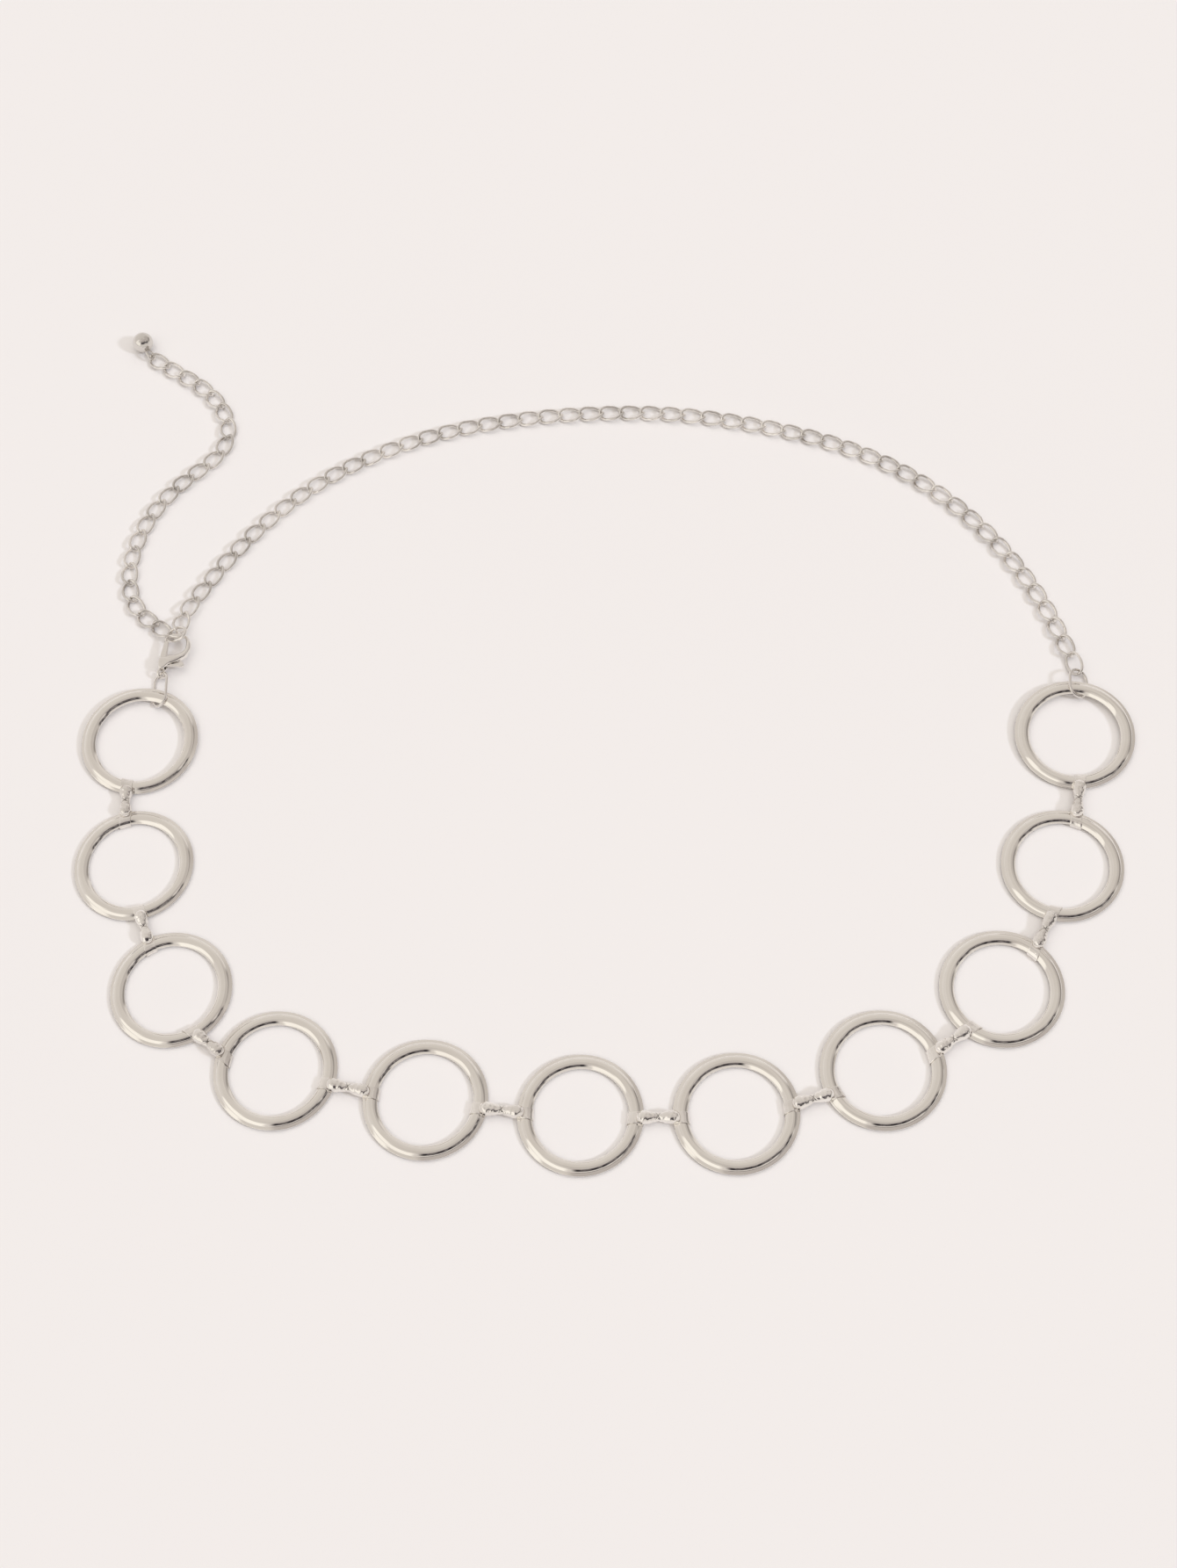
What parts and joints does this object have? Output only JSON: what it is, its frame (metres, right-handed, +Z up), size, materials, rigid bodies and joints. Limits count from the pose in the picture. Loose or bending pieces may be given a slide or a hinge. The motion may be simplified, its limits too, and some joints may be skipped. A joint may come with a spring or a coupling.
{
  "type": "waist chain",
  "caption": "Waist chain for body wear: flat polished metal rings joined by strap connectors along the front, an open curb chain over the back, a lobster clasp and a free tail ending in a ball.",
  "frame": {"origin": "centre of the bounding box's bottom face, on the table the chain lies on", "axes": "+X to the wearer's side at the right of the picture, +Y from the ring row to the back chain, +Z up from the table"},
  "size_m": [0.3578, 0.3442, 0.0075],
  "materials": {
    "ring_chrome": "polished, mirror bright",
    "connector_chrome": "polished, mirror bright",
    "wire_metal": "bright drawn wire",
    "chain_metal": "bright plated wire",
    "ball_chrome": "polished, mirror bright",
    "clasp_metal": "polished casting",
    "lever_metal": "polished casting"
  },
  "bodies": {
    "belt": {"ring_01": "ring_chrome", "ring_02": "ring_chrome", "ring_03": "ring_chrome", "ring_04": "ring_chrome", "ring_05": "ring_chrome", "ring_06": "ring_chrome", "ring_07": "ring_chrome", "ring_08": "ring_chrome", "ring_09": "ring_chrome", "ring_10": "ring_chrome", "ring_11": "ring_chrome", "connector_01": "connector_chrome", "connector_02": "connector_chrome", "connector_03": "connector_chrome", "connector_04": "connector_chrome", "connector_05": "connector_chrome", "connector_06": "connector_chrome", "connector_07": "connector_chrome", "connector_08": "connector_chrome", "connector_09": "connector_chrome", "connector_10": "connector_chrome", "jump_ring_right": "wire_metal", "waist_chain": "chain_metal", "tail_chain": "chain_metal", "end_ball": "ball_chrome", "clasp_body": "clasp_metal", "clasp_jump_ring": "wire_metal"},
    "lever": {"clasp_lever": "lever_metal"}
  },
  "joints": [
    {"name": "clasp_lever_hinge", "type": "hinge", "parent": "belt", "child": "lever", "pos_m": [-0.14771, 0.03078, 0.0036], "axis": [0, 0, -1], "range_deg": [0, 22], "stiffness_Nm_per_rad": 0.01, "springref_deg": -17.19}
  ]
}
